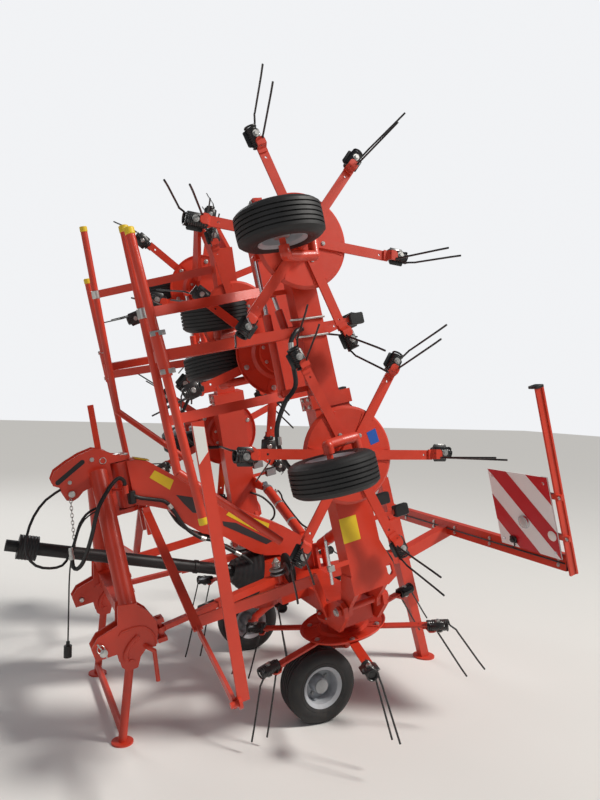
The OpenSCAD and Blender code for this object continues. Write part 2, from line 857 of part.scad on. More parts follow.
main_frame();
neck();
headstock_frame();  // headstock
front_stand();
drive_shaft();
stabiliser_sleeve(-1);  // near_stabiliser_sleeve
stabiliser_rod(-1);  // near_stabiliser_rod
stabiliser_sleeve(1);  // far_stabiliser_sleeve
stabiliser_rod(1);  // far_stabiliser_rod
centre_guard();
guard_flap(-1);  // near_guard_flap
guard_flap(1);  // far_guard_flap
fold_barrel(-1);  // near_fold_barrel
fold_rod(-1);  // near_fold_rod
fold_barrel(1);  // far_fold_barrel
fold_rod(1);  // far_fold_rod
wing_beam(-1);  // near_wing_beam
outer_section(-1);  // near_outer_section
wing_beam(1);  // far_wing_beam
outer_section(1);  // far_outer_section
color(black) cord(supply_route, 22);  // hose_supply
supply_coupling();
color(black) cord(loop_path, 14);  // hose_loop
color(black) cord(cable_path, 8);  // light_cable
light_plug();
rear_frame();
boards();
rear_leg();
rotor_iron(0);  // near_1_disc
rotor_tines(0);  // near_1_tines
tyre(0);  // near_1_tyre
rim(0);  // near_1_rim
rotor_iron(1);  // near_2_disc
rotor_tines(1);  // near_2_tines
tyre(1);  // near_2_tyre
rim(1);  // near_2_rim
rotor_iron(2);  // near_3_disc
rotor_tines(2);  // near_3_tines
tyre(2);  // near_3_tyre
rim(2);  // near_3_rim
rotor_iron(3);  // near_4_disc
rotor_tines(3);  // near_4_tines
tyre(3);  // near_4_tyre
rim(3);  // near_4_rim
rotor_iron(4);  // far_1_disc
rotor_tines(4);  // far_1_tines
tyre(4);  // far_1_tyre
rim(4);  // far_1_rim
rotor_iron(5);  // far_2_disc
rotor_tines(5);  // far_2_tines
tyre(5);  // far_2_tyre
rim(5);  // far_2_rim
rotor_iron(6);  // far_3_disc
rotor_tines(6);  // far_3_tines
tyre(6);  // far_3_tyre
rim(6);  // far_3_rim
rotor_iron(7);  // far_4_disc
rotor_tines(7);  // far_4_tines
tyre(7);  // far_4_tyre
rim(7);  // far_4_rim
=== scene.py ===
import math
import bmesh
import bpy
import numpy as np
from mathutils import Matrix, Vector


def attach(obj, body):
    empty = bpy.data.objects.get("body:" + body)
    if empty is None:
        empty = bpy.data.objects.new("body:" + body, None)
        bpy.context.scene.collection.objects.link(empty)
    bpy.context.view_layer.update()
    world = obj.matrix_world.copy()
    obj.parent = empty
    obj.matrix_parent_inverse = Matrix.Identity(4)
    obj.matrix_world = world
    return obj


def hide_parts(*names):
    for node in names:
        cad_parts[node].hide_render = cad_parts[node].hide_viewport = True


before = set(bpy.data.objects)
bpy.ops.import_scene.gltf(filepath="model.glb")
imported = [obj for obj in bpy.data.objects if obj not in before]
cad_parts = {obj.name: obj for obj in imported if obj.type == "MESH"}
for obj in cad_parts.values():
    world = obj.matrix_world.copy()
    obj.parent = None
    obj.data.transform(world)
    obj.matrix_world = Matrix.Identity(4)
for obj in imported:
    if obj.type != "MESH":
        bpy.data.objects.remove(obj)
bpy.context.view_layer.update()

# Lengths are millimetres, apart from the cords' routes, the camera and the lamps, which are in metres.
# A point of the machine is (u, y, w): u to the rear, y across, w up, from the plane of the inner rotors.
# s is the side: -1 near the camera, 1 far from it. The values are those of the part's source.
SHIFT = 139.941
TILT = math.radians(13.37)
FOLD = math.radians(95.7)
LEAN = math.radians(16.6)
CT = math.cos(TILT)
ST = math.sin(TILT)
TYRE_R = 202.5
TYRE_HALF = 83.0
RIM_R = 102.0
WHEEL_LEAD = 224
WHEEL_DROP = 248
BASE_Z = TYRE_R + WHEEL_LEAD * ST + WHEEL_DROP * CT
BASE_X = WHEEL_LEAD * CT - WHEEL_DROP * ST + 5 + SHIFT
HINGE_Y = 835.0
HINGE_W = 224.0
OUTER_HINGE_Y = {-1: 3030.0, 1: 3160.0}
OUTER_HINGE_W = 325.0
ROTOR_PITCH = 1090.0
ARM_COUNT = 6
LINK_Y = 450.0
UPRIGHT_Y = 1115.0
FLANGE_HEIGHT = 94
STABILISER_POST_U, STABILISER_POST_Y = -240, 300
BAR_FRONT = 1265 + SHIFT
CABLE_HEIGHT = 907.5
BOARD_SIZE = 485.0
# Columns: side, pitches from the middle, phase in degrees, lead and sideways shift of the wheel
STATIONS = [
    (-1, 0.5, 16.5, 0, 22), (-1, 1.5, 13.5, 0, -38), (-1, 2.5, 16.5, 0, 13), (-1, 3.5, 13.5, 50, -20),
    (1, 0.5, 46.5, 0, 22), (1, 1.5, 43.5, 0, -38), (1, 2.5, 46.5, 0, 13), (1, 3.5, 40.5, 10, -55),
]
NAMES = ["near_1", "near_2", "near_3", "near_4", "far_1", "far_2", "far_3", "far_4"]
SIDES = {-1: "near", 1: "far"}


def move(x, y, z):
    """The frame that is shifted by x, y, z."""
    m = np.eye(4)
    m[:3, 3] = (x, y, z)
    return m


def turn(axis, angle):
    """The frame that is turned by angle about a main axis."""
    return np.array(Matrix.Rotation(angle, 4, axis))


MACHINE = move(BASE_X, 0, BASE_Z) @ turn("Y", -TILT)
SIDEWAYS = turn("X", math.pi / 2)
FRONTAL = np.array([(0, 0, 1, 0), (1, 0, 0, 0), (0, 1, 0, 0), (0, 0, 0, 1.0)])


def wing(s):
    """The wing's frame as if unfolded: the machine's, turned up by FOLD about the inner hinge."""
    return MACHINE @ move(0, s * HINGE_Y, HINGE_W) @ turn("X", s * FOLD) @ move(0, -s * HINGE_Y, -HINGE_W)


def outer(s):
    """The outer section's frame as if unfolded: the wing's, turned by half a turn about the outer hinge."""
    y = s * OUTER_HINGE_Y[s]
    return wing(s) @ move(0, y, OUTER_HINGE_W) @ turn("X", math.pi) @ move(0, -y, -OUTER_HINGE_W)


def station(i):
    """The frame that carries rotor i: machine, wing or outer section."""
    s, k = STATIONS[i][:2]
    return MACHINE if k < 1 else wing(s) if k < 3 else outer(s)


def at_post(s):
    """The frame at the foot of a board upright, with Z along the raked upright."""
    return move(1320 + SHIFT, s * UPRIGHT_Y, 885) @ turn("Y", -LEAN)


def at(m, p):
    """Points p of the frame m as points of the row frame."""
    return np.asarray(p, float) @ m[:3, :3].T + m[:3, 3]


def facing(p, axis):
    """A frame at p whose Z looks along axis."""
    z = np.array(axis, float) / np.linalg.norm(axis)
    x = np.cross(z, [0, 0, 1] if abs(z[2]) < 0.9 else [1, 0, 0])
    x /= np.linalg.norm(x)
    m = np.eye(4)
    m[:3, 0], m[:3, 1], m[:3, 2], m[:3, 3] = x, np.cross(z, x), z, p
    return m


def around(n):
    """n angles, evenly round the circle from 0."""
    return 2 * math.pi * np.arange(n) / n


def curve(points, steps=6):
    """A smooth line: between p1 and p2 it is the cubic whose end slopes are (p2 - p0) / 2 and (p3 - p1) / 2."""
    p = np.asarray(points, float)
    q = np.concatenate([p[:1], p, p[-1:]])
    t = (np.arange(steps) / steps)[None, :, None]
    a, b, c, d = (q[k:len(q) - 3 + k][:, None, :] for k in range(4))
    line = b + (c - a) * t / 2 + (2 * a - 5 * b + 4 * c - d) * t ** 2 / 2 + (3 * b - a - 3 * c + d) * t ** 3 / 2
    return np.concatenate([line.reshape(-1, 3), p[-1:]])


class Shape:
    """Surfaces in millimetres that together become one mesh. Each one is a grid of rings: point (i, j) is point j of
    ring i, and four neighbours in the grid make a face."""

    def __init__(self):
        self.verts = []
        self.faces = []
        self.count = 0

    def grid(self, rings, m=None, loop=False):
        """Rings of points in order. Both ends are closed with a flat face, or loop joins the last ring to the first."""
        g = np.asarray(rings, float)
        n, k = g.shape[:2]
        p = g.reshape(-1, 3)
        if m is not None:
            p = at(m, p)
        i, j = np.meshgrid(np.arange(n if loop else n - 1), np.arange(k), indexing="ij")
        nxt, up = (j + 1) % k, (i + 1) % n
        quads = np.stack([i * k + j, i * k + nxt, up * k + nxt, up * k + j], -1).reshape(-1, 4) + self.count
        self.faces += quads.tolist()
        if not loop:
            self.faces.append((np.arange(k)[::-1] + self.count).tolist())
            self.faces.append((np.arange(k) + (n - 1) * k + self.count).tolist())
        self.verts.append(p)
        self.count += len(p)
        return self

    def lathe(self, profile, m=None, seg=32, loop=False):
        """A profile of (radius, height) turned about Z: point (i, j) = (r_i cos a_j, r_i sin a_j, h_i)."""
        p = np.asarray(profile, float)
        a = around(seg)
        g = np.stack([np.outer(p[:, 0], np.cos(a)), np.outer(p[:, 0], np.sin(a)),
                      np.broadcast_to(p[:, 1:2], (len(p), seg))], -1)
        return self.grid(g, m, loop)

    def prism(self, outline, lo, hi, m=None, c=0.0):
        """An outline in the XY plane carried from lo to hi, its two rims drawn in towards the middle by c."""
        o = np.asarray(outline, float)
        mid = o.mean(0)
        arm = o - mid
        inner = mid + arm * (1 - c / np.maximum(np.linalg.norm(arm, axis=1), 1e-6))[:, None]
        rows = [(inner, lo), (o, lo + c), (o, hi - c), (inner, hi)] if c else [(o, lo), (o, hi)]
        g = np.stack([np.column_stack([q, np.full(len(q), h)]) for q, h in rows])
        return self.grid(g, m)

    def box(self, lo, hi, m=None, c=2.0):
        """A box whose edges are cut back by c: an eight-cornered outline carried along Z."""
        (x0, y0, z0), (x1, y1, z1) = lo, hi
        c = min(c, 0.3 * min(x1 - x0, y1 - y0, z1 - z0))
        out = [(x0 + c, y0), (x1 - c, y0), (x1, y0 + c), (x1, y1 - c),
               (x1 - c, y1), (x0 + c, y1), (x0, y1 - c), (x0, y0 + c)]
        return self.prism(out, z0, z1, m, c)

    def rod(self, a, b, d, seg=16, c=0.0, m=None):
        """A round bar of diameter d from a to b, its rims cut back by c."""
        a, b = (np.array(p, float) if m is None else at(m, p) for p in (a, b))
        n, r = np.linalg.norm(b - a), d / 2
        rows = [(r - c, 0), (r, c), (r, n - c), (r - c, n)] if c else [(r, 0), (r, n)]
        return self.lathe(rows, facing(a, b - a), seg)

    def tube(self, points, d, seg=10, m=None, loop=False):
        """A tube along points: each ring is a circle square to the line, turned no more than the line itself turns."""
        p = np.asarray(points, float) if m is None else at(m, points)
        t = np.roll(p, -1, 0) - np.roll(p, 1, 0) if loop else np.gradient(p, axis=0)
        t /= np.linalg.norm(t, axis=1)[:, None]
        x = np.cross(t[0], [0, 0, 1] if abs(t[0][2]) < 0.9 else [1, 0, 0])
        xs = []
        for way in t:
            x = x - way * (x @ way)
            x /= np.linalg.norm(x)
            xs.append(x)
        xs = np.array(xs)
        ys = np.cross(t, xs)
        a = around(seg)
        g = p[:, None] + d / 2 * (np.cos(a)[None, :, None] * xs[:, None] + np.sin(a)[None, :, None] * ys[:, None])
        return self.grid(g, None, loop)

    def bolt(self, p, axis, size=24, head=10, m=None):
        """A washer and a hexagon head with a cut rim, standing on p along axis. Size is the width across the flats."""
        k = facing(p, axis)
        k = k if m is None else m @ k
        self.lathe([(size * 0.72, -0.5), (size * 0.72, 2.5)], k, 16)
        r = size / math.sqrt(3)
        return self.lathe([(r, 2), (r, head - 1.5), (r * 0.84, head)], k, 6)

    def flange_bolts(self, y, r, size, head, m, flip=1):
        """Eight bolts on the gearbox flange of a rotor: (r cos a, y + flip r sin a) at the flange's height."""
        for a in around(8) + 0.4:
            self.bolt((r * math.cos(a), y + flip * r * math.sin(a), FLANGE_HEIGHT), (0, 0, 1), size, head, m)


def several(shape, places):
    """The same shape at each of the places."""
    out = Shape()
    v = np.concatenate(shape.verts)
    for k, m in enumerate(places):
        out.verts.append(at(m, v))
        out.faces += [[q + k * len(v) for q in f] for f in shape.faces]
    out.count = len(places) * len(v)
    return out


def on_side(shape, outline, y0, y1, m=MACHINE, c=0.4):
    """A plate whose outline is given as (u, w) and whose thickness runs from y0 to y1."""
    return shape.prism(outline, -y1, -y0, m @ SIDEWAYS, c)


def put(name, shape, finish, body, smooth=38.0):
    """Makes the mesh in metres, closes its poles, turns its faces outward, and lets it ride on the body."""
    me = bpy.data.meshes.new(name)
    me.from_pydata((np.concatenate(shape.verts) / 1000.0).tolist(), [], shape.faces)
    bm = bmesh.new()
    bm.from_mesh(me)
    bmesh.ops.remove_doubles(bm, verts=bm.verts, dist=0.00002)
    bmesh.ops.recalc_face_normals(bm, faces=bm.faces)
    bm.to_mesh(me)
    bm.free()
    ob = bpy.data.objects.new(name, me)
    bpy.context.scene.collection.objects.link(ob)
    me.materials.append(finish)
    me.shade_smooth()
    me.set_sharp_from_angle(angle=math.radians(smooth))
    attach(ob, body)
    return ob


# Camera, from the fit to the photo
SENSOR = 36.0
FOCAL_PIXELS = 661.78
PHOTO_HEIGHT = 800.0
CAMERA_PLACE = (-1.5397, -3.8578, 1.7618)
cam_data = bpy.data.cameras.new("view")
cam_data.sensor_fit = "AUTO"
cam_data.sensor_width = SENSOR
cam_data.lens = SENSOR * FOCAL_PIXELS / PHOTO_HEIGHT
cam = bpy.data.objects.new("view", cam_data)
bpy.context.scene.collection.objects.link(cam)
yaw, pitch, roll = math.radians(24.70), math.radians(0.17), 0.0374
forward = Vector((math.sin(yaw) * math.cos(pitch), math.cos(yaw) * math.cos(pitch), math.sin(pitch)))
right = Vector((math.cos(yaw), -math.sin(yaw), 0.0))
up = right.cross(forward)
cam_x = right * math.cos(roll) + up * math.sin(roll)
cam_y = up * math.cos(roll) - right * math.sin(roll)
cam.matrix_world = Matrix((
    (cam_x.x, cam_y.x, -forward.x, CAMERA_PLACE[0]),
    (cam_x.y, cam_y.y, -forward.y, CAMERA_PLACE[1]),
    (cam_x.z, cam_y.z, -forward.z, CAMERA_PLACE[2]),
    (0, 0, 0, 1),
))
bpy.context.scene.camera = cam


def material(name, color, rough, metal=0.0, spread=0.08, bump=0.15, bump_scale=350.0, coat=0.0,
             dirt=0.25, dirt_color=(0.16, 0.14, 0.115), dirt_height=0.9):
    """One finish: noise varies the colour and roughness, a fine noise is the bump, dust gathers towards the floor."""
    mat = bpy.data.materials.new(name)
    mat.use_nodes = True
    nd, ln = mat.node_tree.nodes, mat.node_tree.links
    nd.clear()

    def noise(scale, detail, roughness):
        """Noise on the object's own coordinates, from 0 to 1."""
        n = nd.new("ShaderNodeTexNoise")
        n.inputs["Scale"].default_value = scale
        n.inputs["Detail"].default_value = detail
        n.inputs["Roughness"].default_value = roughness
        ln.new(place.outputs["Object"], n.inputs["Vector"])
        return n.outputs["Fac"]

    def spans(value, lo, hi, to_lo, to_hi):
        """The value carried evenly from the span lo..hi to the span to_lo..to_hi."""
        n = nd.new("ShaderNodeMapRange")
        for key, v in (("From Min", lo), ("From Max", hi), ("To Min", to_lo), ("To Max", to_hi)):
            n.inputs[key].default_value = v
        ln.new(value, n.inputs["Value"])
        return n.outputs[0]

    def math_node(kind, a, b, clamp=False):
        """The sum or product of a node's output a and of b, which is a number or another output."""
        n = nd.new("ShaderNodeMath")
        n.operation = kind
        n.use_clamp = clamp
        ln.new(a, n.inputs[0])
        if isinstance(b, float):
            n.inputs[1].default_value = b
        else:
            ln.new(b, n.inputs[1])
        return n.outputs[0]

    out = nd.new("ShaderNodeOutputMaterial")
    bs = nd.new("ShaderNodeBsdfPrincipled")
    ln.new(bs.outputs[0], out.inputs[0])
    bs.inputs["Metallic"].default_value = metal
    bs.inputs["Coat Weight"].default_value = coat
    bs.inputs["Coat Roughness"].default_value = 0.12
    place = nd.new("ShaderNodeTexCoord")
    ramp = nd.new("ShaderNodeValToRGB")
    c = np.array(color, float)
    dark, pale = ramp.color_ramp.elements[0], ramp.color_ramp.elements[1]
    dark.position = 0.33
    pale.position = 0.68
    dark.color = (*(c * (1 - spread * 1.6)), 1)
    pale.color = (*np.minimum(c * (1 + spread), 1.0), 1)
    ln.new(noise(3.1, 6.0, 0.62), ramp.inputs["Fac"])
    patches = noise(23.0, 8.0, 0.7)
    xyz = nd.new("ShaderNodeSeparateXYZ")
    ln.new(place.outputs["Object"], xyz.inputs[0])
    low = spans(xyz.outputs["Z"], dirt_height, 0.0, 0.12, 1.0)
    amount = math_node("MULTIPLY", math_node("MULTIPLY", low, spans(patches, 0.42, 0.78, 0.0, 1.0)), dirt)
    mix = nd.new("ShaderNodeMix")
    mix.data_type = "RGBA"
    mix.inputs["B"].default_value = (*dirt_color, 1)
    ln.new(amount, mix.inputs["Factor"])
    ln.new(ramp.outputs["Color"], mix.inputs["A"])
    ln.new(mix.outputs["Result"], bs.inputs["Base Color"])
    rough_now = spans(patches, 0.0, 1.0, max(rough - 0.07, 0.03), min(rough + 0.14, 1.0))
    ln.new(math_node("ADD", rough_now, amount, True), bs.inputs["Roughness"])
    bp = nd.new("ShaderNodeBump")
    bp.inputs["Strength"].default_value = bump
    bp.inputs["Distance"].default_value = 0.0006
    ln.new(noise(bump_scale, 3.0, 0.5), bp.inputs["Height"])
    ln.new(bp.outputs[0], bs.inputs["Normal"])
    return mat


ORANGE = material("orange_paint", (0.62, 0.040, 0.014), 0.40, spread=0.07, bump=0.10, bump_scale=140.0,
                  coat=0.2, dirt=0.22)
RUBBER = material("tyre_rubber", (0.011, 0.011, 0.012), 0.52, spread=0.25, bump=0.5, bump_scale=420.0,
                  dirt=0.32, dirt_color=(0.13, 0.115, 0.095), dirt_height=0.5)
RIM = material("rim_paint", (0.40, 0.42, 0.45), 0.38, spread=0.05, bump=0.12, coat=0.2, dirt=0.3)
PLASTIC = material("black_plastic", (0.014, 0.014, 0.015), 0.42, spread=0.3, bump=0.35, bump_scale=520.0, dirt=0.15)
TINE = material("tine_black", (0.013, 0.013, 0.014), 0.34, spread=0.3, bump=0.25, bump_scale=260.0,
                coat=0.3, dirt=0.2)
CHROME = material("rod_steel", (0.72, 0.73, 0.75), 0.12, metal=1.0, spread=0.04, bump=0.04, dirt=0.05)
ZINC = material("zinc", (0.62, 0.62, 0.60), 0.36, metal=1.0, spread=0.12, bump=0.2, dirt=0.2)
GREY = material("bolt_grey", (0.33, 0.34, 0.35), 0.42, metal=0.7, spread=0.12, bump=0.2, dirt=0.2)
YELLOW = material("cap_yellow", (0.80, 0.55, 0.02), 0.42, spread=0.06, bump=0.1, dirt=0.2)
WHITE = material("panel_white", (0.80, 0.79, 0.74), 0.40, spread=0.03, bump=0.1, dirt=0.15)
BOARD = material("board_white", (0.83, 0.83, 0.82), 0.32, spread=0.03, bump=0.1, dirt=0.12)
STRIPE = material("board_red", (0.52, 0.012, 0.02), 0.30, spread=0.06, bump=0.1, dirt=0.12)
HOSE = material("hose_rubber", (0.013, 0.013, 0.014), 0.40, spread=0.25, bump=0.3, bump_scale=600.0, dirt=0.15)
BLUE = material("label_blue", (0.02, 0.10, 0.42), 0.35, spread=0.05, bump=0.05, dirt=0.1)
DECAL = material("band_dark", (0.035, 0.030, 0.032), 0.35, spread=0.1, bump=0.05, dirt=0.1)
LENS = material("lamp_glass", (0.50, 0.50, 0.49), 0.10, spread=0.1, bump=0.1, coat=0.8, dirt=0.1)

# Finishes of the CAD solids by the end of their names. The rest is painted orange.
ENDINGS = {"_tyre": RUBBER, "_rim": RIM, "_tines": TINE, "_fold_rod": CHROME, "drive_shaft": PLASTIC,
           "boards": BOARD, "supply_coupling": ZINC, "light_plug": PLASTIC}
for name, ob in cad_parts.items():
    ob.data.materials.clear()
    ob.data.materials.append(next((f for end, f in ENDINGS.items() if name.endswith(end)), ORANGE))

# Free hoses and cable: name, diameter, far end, pieces on it, and the points it passes, in metres
CORDS = [
    ("hose_supply", 0.022, "connector", ("supply_coupling",), [
        (-1.015, -0.140, 1.265), (-1.020, -0.143, 1.290), (-1.050, -0.165, 1.310), (-1.085, -0.205, 1.293),
        (-1.115, -0.240, 1.262), (-1.145, -0.270, 1.220), (-1.170, -0.290, 1.175), (-1.185, -0.295, 1.115),
        (-1.195, -0.290, 1.050), (-1.205, -0.280, 0.995), (-1.215, -0.265, 0.945), (-1.225, -0.245, 0.900),
        (-1.237, -0.220, 0.860), (-1.256, -0.195, 0.834), (-1.274, -0.180, 0.843), (-1.280, -0.175, 0.880)]),
    ("hose_loop", 0.014, "object", (), [
        (-1.330, -0.035, 1.240), (-1.415, -0.070, 1.185), (-1.475, -0.110, 1.105), (-1.508, -0.160, 1.010),
        (-1.505, -0.190, 0.925), (-1.460, -0.190, 0.865), (-1.390, -0.165, 0.840), (-1.325, -0.140, 0.845),
        (-1.290, -0.120, 0.890), (-1.270, -0.115, 0.945), (-1.255, -0.115, 1.005), (-1.240, -0.115, 1.060),
        (-1.210, -0.110, 1.105), (-1.175, -0.105, 1.130), (-1.135, -0.100, 1.145)]),
    ("light_cable", 0.008, "plug", ("light_plug",), [
        (-1.140, -0.125, 1.135), (-1.180, -0.130, 1.115), (-1.220, -0.140, 1.085), (-1.245, -0.145, 1.040),
        (-1.258, -0.145, 0.990), (-1.269, -0.145, 0.940), (-1.279, -0.140, 0.885), (-1.285, -0.135, 0.820),
        (-1.286, -0.130, 0.735), (-1.284, -0.127, 0.650), (-1.282, -0.125, 0.545), (-1.280, -0.125, 0.430)]),
]
for name, d, far_end, pieces, route in CORDS:
    path = curve(np.array(route) + (SHIFT / 1000, 0, 0), 2)
    shape = Shape().tube(path * 1000, d * 1000, 16)
    hose = put(name + "_run", shape, HOSE, "headstock")
    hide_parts(name)


def wheel_matrix(i):
    """The frame of wheel i, with Z along its axle."""
    s, k, _, lead, shift = STATIONS[i]
    return station(i) @ move(-WHEEL_LEAD - lead, s * (k * ROTOR_PITCH + shift), -WHEEL_DROP) @ SIDEWAYS


def tyre_profile():
    """Closed section of the tyre: bead, side wall and tread. The crown is r - 7 (|z| / h)^3.2 in six ribs, with five
    grooves between them that go down to r - 8.5."""
    h, r, bead = TYRE_HALF, TYRE_R, RIM_R
    side = [(bead - 1, -h + 24), (bead + 6, -h + 13), (bead + 22, -h + 5), (bead + 30, -h + 2.5),
            (bead + 33, -h + 3.6), (r - 58, -h + 0.3), (r - 48, -h), (r - 34, -h + 2.5), (r - 22, -h + 8),
            (r - 12, -h + 15), (r - 8, -h + 21)]
    ribs, groove, shoulder = 6, 7.0, 24
    wide = (2 * h - 2 * shoulder - (ribs - 1) * groove) / ribs
    starts = -h + shoulder + np.arange(ribs) * (wide + groove)
    z = (starts[:, None] + wide * np.array([0, 0.5, 1.0])).ravel()
    rows = np.column_stack([r - 7 * (np.abs(z) / h) ** 3.2, z]).reshape(ribs, 3, 2)
    cuts = np.stack([[(r - 8.5, a + wide + 1.2), (r - 8.5, a + wide + 5.8)] for a in starts])
    crown = np.concatenate([rows, cuts], 1).reshape(-1, 2)[:-2]
    return np.concatenate([side, crown, [(p[0], -p[1]) for p in reversed(side)]])


def wheel(i, name):
    """The tyre with its tread, and the hub: five bolts from both faces, a cap at each end and the valve."""
    m = wheel_matrix(i)
    tyre = put(name + "_tread", Shape().lathe(tyre_profile(), m, 96, True), RUBBER, name + "_wheel", 35)
    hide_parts(name + "_tyre")
    hub = Shape()
    for a in around(5) + 0.3:
        p = (62 * math.cos(a), 62 * math.sin(a))
        hub.bolt((*p, -18), (0, 0, -1), 17, 8, m)
        hub.bolt((*p, -10), (0, 0, 1), 17, 8, m)
    for z in (-1, 1):
        k = m @ move(0, 0, 50 * z) @ (np.eye(4) if z > 0 else turn("X", math.pi))
        hub.lathe([(40, -2), (40, 3), (37, 7), (22, 10), (6, 11)], k, 32)
    hub.rod((86, 0, -14), (94, 4, -40), 9, 10, 1.5, m)
    put(name + "_hub", hub, GREY, name + "_wheel", 40)


for i, name in enumerate(NAMES):
    wheel(i, name)

# The two coils of a tine pair: start and end along the arm, radius, turns, and the tip for t = 1
COILS = [(-584, -598, 27.5, 1.5, (-750, -27, -283)), (-486, -495.5, 25.0, 1.25, (-650, -16, -318))]
SPOOL_END, SPOOL_LENGTH, SPOOL_RIBS = -583.0, 82.5, 8
# The strap that clasps the end of an arm: along the arm, height, half width
STRAP = [(-458, -14, 25), (-476, -14, 25), (-491, -35, 25), (-498, -35.5, 25), (-514, -35.5, 25),
         (-523, -35.5, 20), (-528, -35.5, 11)]
# A pressed rib beside an arm, seen from above
RIB = [(104, -5), (224, -5), (228, 0), (224, 5), (104, 5), (100, 0)]


def holder(t):
    """One pair of tines on the arm along -X: a ribbed spool, two coils with their bent wires, the arched shell, the
    bolts and the strap. t is the sense of turning. A coil is (x, 12t - t r cos a, -5 + r sin a) with x running on
    evenly while a falls to 0."""
    black, bolts = Shape(), Shape()
    middle = 12 * t
    x = np.linspace(SPOOL_END + SPOOL_LENGTH, SPOOL_END, 41)
    r = 28.2 + 1.8 * np.cos((x - SPOOL_END) / SPOOL_LENGTH * 2 * math.pi * SPOOL_RIBS)
    rows = np.column_stack([r, x - SPOOL_END])
    black.lathe(rows[::-1], facing((SPOOL_END, middle, -5), (1, 0, 0)), 20)
    for x0, x1, rho, turns, (tip_x, tip_y, tip_z) in COILS:
        a = np.linspace(turns * 2 * math.pi, 0, int(18 * turns))
        coil = np.column_stack([np.linspace(x0, x1, len(a)), middle - t * rho * np.cos(a), -5 + rho * np.sin(a)])
        end, tip = coil[-1], np.array((tip_x, tip_y * t, tip_z), float)
        way = (tip - end) / np.linalg.norm(tip - end)
        bend = [end + (-1, 0, -9), end + (-6, 0, -16), end + way * 34 + (-9, 0, -4),
                end + way * 46 + (-11, 0, 0), end + way * 58 + (-9, 0, 0)]
        black.tube(np.concatenate([coil, bend, [tip - way * 60, tip - way * 4]]), 10, 8)
    a = np.linspace(-1.2, 1.2, 13)
    arch = np.concatenate([np.column_stack([49.3 * np.sin(a), 19.6 - 21 * (1 - np.cos(a))]), [(40, 3), (-40, 3)]])
    ends = [(0.86, -583), (1, -578), (1, -508), (0.86, -503)]
    black.grid([np.column_stack([np.full(len(arch), x), middle + k * arch[:, 0], 4 + k * (arch[:, 1] - 4)])
                for k, x in ends])
    black.lathe([(20, 16), (20, 19.5), (18, 20)], move(-543, middle, 0), 20)
    bolts.bolt((-543, middle, 19.5), (0, 0, 1), 22, 9)
    bolts.lathe([(17, -38), (17, -35), (12, -34)], move(-548, middle, 0), 20)
    bolts.bolt((-548, middle, -38), (0, 0, -1), 17, 7)
    ring = np.array([(1, 1), (-1, 1), (-1, -1), (1, -1)])
    strap = Shape().grid([np.column_stack([np.full(4, x), 0.3 * middle + w * ring[:, 0], z + 4 * ring[:, 1]])
                          for x, z, w in STRAP])
    return black, bolts, strap


def rotor(i, name):
    """The tine pairs of a rotor, the bolts of its arms, and the pressed ribs and rolled rim of its disc."""
    s, k, phase = STATIONS[i][:3]
    hub = station(i) @ move(0, s * k * ROTOR_PITCH, 0) @ turn("Z", -s * math.radians(phase))
    arms = [hub @ turn("Z", math.radians(360 / ARM_COUNT * n)) for n in range(ARM_COUNT)]
    black, bolts, strap = holder(-s)
    tines = put(name + "_tine_set", several(black, arms), TINE, name + "_rotor", 42)
    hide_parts(name + "_tines")
    bolts.bolt((-200, 0, 6), (0, 0, 1), 22, 9)
    bolts.bolt((-110, 0, -10), (0, 0, -1), 15, 6)
    bolts.bolt((-69, 0, 58), (0, 0, 1), 13, 6)
    put(name + "_bolts", several(bolts, arms), ZINC, name + "_rotor", 40)
    ribs = Shape()
    for e in (-9, 9):
        ribs.prism(RIB, -3.5, 0, turn("Z", math.pi + math.radians(e)), 1.5)
        ribs.prism([(min(max(x, 154), 224), y) for x, y in RIB], 5, 9, turn("Z", math.pi + math.radians(e)), 1.5)
    ribs.grid(np.concatenate(strap.verts).reshape(-1, 4, 3))
    press = several(ribs, arms)
    a = around(72)
    press.tube(np.column_stack([243.2 * np.cos(a), 243.2 * np.sin(a), np.full(72, 14.5)]), 6, 8, hub, True)
    put(name + "_pressing", press, ORANGE, name + "_rotor", 35)


for i, name in enumerate(NAMES):
    rotor(i, name)

# A blank label on the underside of the second disc, its corners in the near wing's frame
label = Shape().prism([(121, -1720), (176, -1731), (183, -1661), (131, -1653)], -1.9, -0.8, wing(-1), 0.2)
put("near_2_label", label, BLUE, "near_2_rotor")

# Board faces: a stripe is the part of the square where lo < x - v < hi, x from the inner edge and v from the top
STRIPES = [(2 / 3, 1.0), (0.0, 1 / 3), (-2 / 3, -1 / 3)]
BOARD_FRONT, BOARD_BACK = -59.8, -51.2


